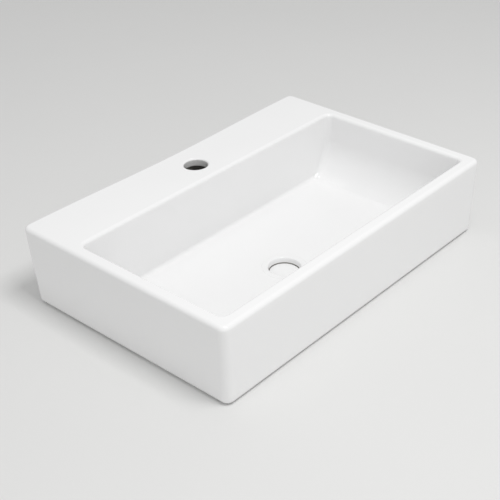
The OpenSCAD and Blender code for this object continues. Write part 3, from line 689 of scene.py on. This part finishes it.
fixings = {
    "sealIn": 23.75, "sealOut": 32, "sealTop": 8.3, "sealNeck": 6.6, "sealT": 0.8, "sealEdgeR": 0.15,
    "washerOut": 33, "rubberIn": 23.5, "rubberTop": 1.5, "rubberEdgeR": 0.7, "rubberBoreEdgeR": 0.5,
    "slipTop": -3.491, "slipIn": 21.205, "slipT": 1.5, "slipEdgeR": 0.4, "slipBoreEdgeR": 0.3,
    "nutAcross": 54, "nutT": 9, "nutIn": 21.005,
}


def makeFixings():
    f = fixings
    few, edge = meshing["fewSteps"], f["sealEdgeR"]
    makePiece("flangeSeal", [lathe([
        (f["sealOut"], f["sealTop"], edge), (f["sealIn"], f["sealNeck"], edge),
        (f["sealIn"], f["sealNeck"] - f["sealT"], edge), (f["sealOut"], f["sealTop"] - f["sealT"], edge)],
        "mouldedNitrile", steps=few)], "basin", "flange_seal")
    edge, boreEdge = f["rubberEdgeR"], f["rubberBoreEdgeR"]
    makePiece("rubberWasher", [lathe([
        (f["rubberIn"], f["slipTop"], boreEdge), (f["washerOut"], f["slipTop"], edge),
        (f["washerOut"], f["rubberTop"], edge), (f["rubberIn"], f["rubberTop"], boreEdge)],
        "mouldedNitrile")], "basin", "under_washer")
    slipFoot, edge, boreEdge = f["slipTop"] - f["slipT"], f["slipEdgeR"], f["slipBoreEdgeR"]
    makePiece("slipWasher", [lathe([
        (f["slipIn"], slipFoot, boreEdge), (f["washerOut"], slipFoot, edge),
        (f["washerOut"], f["slipTop"], edge), (f["slipIn"], f["slipTop"], boreEdge)],
        "polyethylene", steps=few)], "basin", "slip_washer")
    makePiece("backNut", [hexagon(f["nutAcross"], f["nutIn"], slipFoot - f["nutT"], slipFoot, "turnedBrass")],
              "basin", "back_nut", sharp=meshing["sharp"])


makeFixings()


# PLUG: crowned cap with a seal under its edge, on a plunger that runs in the cartridge

plug = {
    "capR": 21.9, "capTop": 0.9, "capUnder": -0.3, "edgeFillet": 0.9, "crown": 1.7, "crownPower": 4,
    "crownFrom": 0.9, "crownRows": 12, "capColumns": 128,
    "webT": 1, "bossR": 7, "bossZ": -8.5, "bossRootR": 0.8, "studR": 3, "studLen": 6, "studRoom": 0.05,
    "sealIn": 16.5, "sealFoot": -2.7, "sealR": 20.4, "sealCut": 2, "sealFootR": 0.5, "sealCutR": 0.4,
    "plungerR": 3.5, "collarR": 4.1, "collarZ": -27.2, "collarH": 2, "collarRootR": 0.15,
    "noseR": 2.4, "noseZ": -34.7, "noseEdgeR": 0.5, "studRootR": 0.1, "studTipR": 0.4, "studShort": 0.1,
    "rodColumns": 48, "fineR": 0.2, "edgeR": 0.3, "softR": 0.6,
}


def makePlug():
    p = plug
    fine, edge, soft = p["fineR"], p["edgeR"], p["softR"]
    studTop, holeR, webZ = p["bossZ"] + p["studLen"], p["studR"] + p["studRoom"], p["sealFoot"] - p["webT"]
    crown = [(p["capR"] * s, p["capTop"] + p["crown"] * (1 - s ** p["crownPower"]), 0)
             for s in np.linspace(p["crownFrom"], 0, p["crownRows"])]
    makePiece("plugCap", [lathe([
        (0, studTop, 0), (holeR, studTop, fine), (holeR, p["bossZ"], edge), (p["bossR"], p["bossZ"], soft),
        (p["bossR"], webZ, p["bossRootR"]), (p["sealIn"], webZ, soft), (p["sealIn"], p["capUnder"], fine),
        (p["capR"], p["capUnder"], edge), (p["capR"], p["capTop"], p["edgeFillet"]), *crown],
        "stovedEnamel", p["capColumns"], closed=False)], "plug", "plug_cap")
    makePiece("plugSeal", [lathe([
        (p["sealIn"], p["sealFoot"], edge), (p["sealR"] - p["sealCut"], p["sealFoot"], p["sealFootR"]),
        (p["sealR"], p["sealFoot"] + p["sealCut"], p["sealCutR"]), (p["sealR"], p["capUnder"], edge),
        (p["sealIn"], p["capUnder"], fine)], "mouldedSilicone")], "plug", "plug_seal")
    collarTop, tip = p["collarZ"] + p["collarH"], studTop - p["studShort"]
    makePiece("plungerRod", [lathe([
        (0, p["noseZ"], 0), (p["noseR"], p["noseZ"], p["noseEdgeR"]),
        (p["noseR"], p["collarZ"], p["collarRootR"]), (p["collarR"], p["collarZ"], fine),
        (p["collarR"], collarTop, edge), (p["plungerR"], collarTop, fine), (p["plungerR"], p["bossZ"], fine),
        (p["studR"], p["bossZ"], p["studRootR"]), (p["studR"], tip, p["studTipR"]), (0, tip, 0)],
        "turnedSteel", p["rodColumns"], closed=False)], "plug", "plunger")


makePlug()


# CARTRIDGE: a threaded tube screwed into the spider, with guide ribs, a hexagon cap and the
# latch ring whose lugs catch under the ribs

cartridge = {
    "tubeR": 6.4, "chamberR": 5, "shoulderR": 9, "shoulderZ": -13.9, "capZ": -11.4, "chamberZ": -40.9,
    "floorT": 2, "footEdgeR": 0.5, "drainR": 1.5, "columns": 64,
    "pitch": 1.0, "threadDepth": 0.55, "threadLead": 1, "fade": 0.8, "threadRootR": 0.1,
    "ribW": 1.2, "ribIn": 4.18, "ribOut": 5.7, "ribLow": -27.0, "ribHigh": -16.0, "ribRamp": 3.3,
    "across": 13, "capH": 2, "capLead": 0.25, "spigotZ": -15.9, "spigotR": 4.95, "spigotBury": 0.5,
    "plungerRoom": 3.58,
    "ringZ": -30.3, "ringH": 3, "ringR": 3.9, "ringBore": 2.48, "ringEdgeR": 0.25,
    "lugR": 4.8, "lugW": 1.2, "lugRoot": 0.9, "lugInset": 0.05,
    "ways": 4,  # as many ribs as lugs, evenly round the tube
    "fineR": 0.2, "edgeR": 0.3, "softR": 0.4,
}


def makeCartridge():
    c = cartridge
    fine, edge, soft = c["fineR"], c["edgeR"], c["softR"]
    foot = c["chamberZ"] - c["floorT"]
    thread = {"radius": c["tubeR"], "pitch": c["pitch"], "depth": c["threadDepth"], "fade": c["fade"],
              "stretches": [(foot + c["threadLead"], c["shoulderZ"])]}
    tube = threadedLathe([
        (c["shoulderR"], c["shoulderZ"], soft), (c["shoulderR"], c["capZ"], soft),
        (c["chamberR"], c["capZ"], fine), (c["chamberR"], c["chamberZ"], soft),
        (c["drainR"], c["chamberZ"], edge), (c["drainR"], foot, edge), (c["tubeR"], foot, c["footEdgeR"]),
        (c["tubeR"], c["shoulderZ"], c["threadRootR"])], "mouldedAcetal", [thread], c["columns"])
    turns = fullTurn(c["ways"])
    ribs = [spoke(c["ribW"], c["ribLow"], c["ribHigh"], c["ribIn"], c["ribOut"], turn, "mouldedAcetal",
                  ramp=c["ribRamp"]) for turn in turns]
    makePiece("cartridgeTube", [tube, *ribs], "basin", "cartridge_body")

    spigotTop = c["capZ"] + c["spigotBury"]
    spigot = lathe([
        (c["plungerRoom"], c["spigotZ"], fine), (c["spigotR"], c["spigotZ"], edge),
        (c["spigotR"], spigotTop, 0), (c["plungerRoom"], spigotTop, 0)], "nickelPlate", c["columns"])
    head = hexagon(c["across"], c["plungerRoom"], c["capZ"], c["capZ"] + c["capH"], "nickelPlate",
                   lead=c["capLead"])
    makePiece("cartridgeCap", [head, spigot], "basin", "cartridge_cap",
              sharp=meshing["sharp"])

    low, high, edge = c["ringZ"], c["ringZ"] + c["ringH"], c["ringEdgeR"]
    core = lathe([(c["ringBore"], low, fine), (c["ringR"], low, edge), (c["ringR"], high, edge),
                  (c["ringBore"], high, fine)], "tintedAcetal", c["columns"], steps=meshing["fewSteps"])
    lugs = [spoke(c["lugW"], low + c["lugInset"], high - c["lugInset"], c["ringBore"] + c["lugRoot"],
                  c["lugR"], turn, "tintedAcetal") for turn in turns]
    makePiece("latchRing", [core, *lugs], "latch", "latch_ring")


makeCartridge()


# SPRING: drawn wire wound in six turns, close at both ends, that stretches as the plug rises

spring = {
    "footZ": -40.9, "length": 10.5, "meanR": 3.7, "wire": 0.7, "turns": 6, "swell": 0.055,
    "perTurn": 40, "sides": 12,
}


def makeSpring():
    # a point lies on the wire's circle, held upright across the helix. The pitch swells towards
    # the middle, and both ends of the wire close to a point
    s = spring
    t = np.linspace(0, 1, s["turns"] * s["perTurn"] + 1)[:, None]
    wireR = s["wire"] / 2
    turn = 2 * math.pi * s["turns"] * t
    z = s["footZ"] + wireR + (s["length"] - s["wire"]) * (t - s["swell"] * np.sin(2 * math.pi * t))
    b = fullTurn(s["sides"])
    r = s["meanR"] + wireR * np.cos(b)
    tube = np.stack([r * np.cos(turn), drainY + r * np.sin(turn), z + wireR * np.sin(b)], -1)
    ends = tube[[0, -1]].mean(1, keepdims=True).repeat(s["sides"], 1)
    points = np.concatenate([ends[:1], tube, ends[1:]])
    wire = gridPatch(points, "drawnWire", flip=True)
    piece = makePiece("coilSpring", [wire], None, "spring")
    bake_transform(piece)


makeSpring()


# STUDIO: a pale floor with a cut-out under the waste, under a pale sky, with a high and a low
# soft box in front

studio = {
    "floorZ": -0.2, "reach": 6000, "nearR": 900, "cutR": 45, "cutDepth": 110, "middleR": 0.001,
    "sky": 0.575, "skySeen": 0.75,
    "lights": {
        "high": {"azimuth": -10, "elevation": 68, "distance": 2000, "size": 750, "power": 18.8},
        "low": {"azimuth": -52, "elevation": 18, "distance": 2400, "size": 1600, "power": 3},
    },
}


def makeStudio():
    s = studio
    top, bottom = s["floorZ"], s["floorZ"] - s["cutDepth"]
    profile = [(s["reach"], top), (s["nearR"], top), (s["cutR"], top),
               (s["cutR"], bottom), (s["middleR"], bottom)]
    rings = circles(profile, drainY, fullTurn(meshing["columns"]))
    points, faces, finish = gridPatch(rings, "paintedFloor")
    mesh = bpy.data.meshes.new("studioFloor")
    mesh.from_pydata((points * mm).tolist(), [], faces.tolist())
    mesh.materials.append(materials[finish])
    floor = bpy.data.objects.new("studioFloor", mesh)
    bpy.context.scene.collection.objects.link(floor)

    # the sky lights the basin at one strength, and shows in the glaze at another
    world = bpy.data.worlds.new("studioWorld")
    bpy.context.scene.world = world
    world.use_nodes = True
    tree = world.node_tree
    tree.nodes.clear()
    rays = addNode(tree, "ShaderNodeLightPath")
    seen = rays.outputs["Is Camera Ray"]
    for other in ("Is Glossy Ray", "Is Transmission Ray"):
        either = addNode(tree, "ShaderNodeMath", {0: seen, 1: rays.outputs[other]}, operation="MAXIMUM")
        seen = either.outputs[0]
    strength = addNode(tree, "ShaderNodeMapRange", {
        "Value": seen, "To Min": s["sky"], "To Max": s["skySeen"]})
    sky = addNode(tree, "ShaderNodeBackground", {"Color": (1, 1, 1, 1), "Strength": strength.outputs[0]})
    addNode(tree, "ShaderNodeOutputWorld", {"Surface": sky.outputs[0]})

    for name, v in s["lights"].items():
        across, up, back = axesFacing(v["azimuth"], v["elevation"])
        lamp = bpy.data.lights.new(name, "AREA")
        lamp.shape, lamp.size, lamp.energy = "SQUARE", v["size"] * mm, v["power"]
        middle = np.array([0, 0, topZ / 2])
        placeFacing(bpy.data.objects.new(name, lamp), across, up, back, back * v["distance"] + middle)


makeStudio()
print("studio made")

bpy.context.view_layer.update()
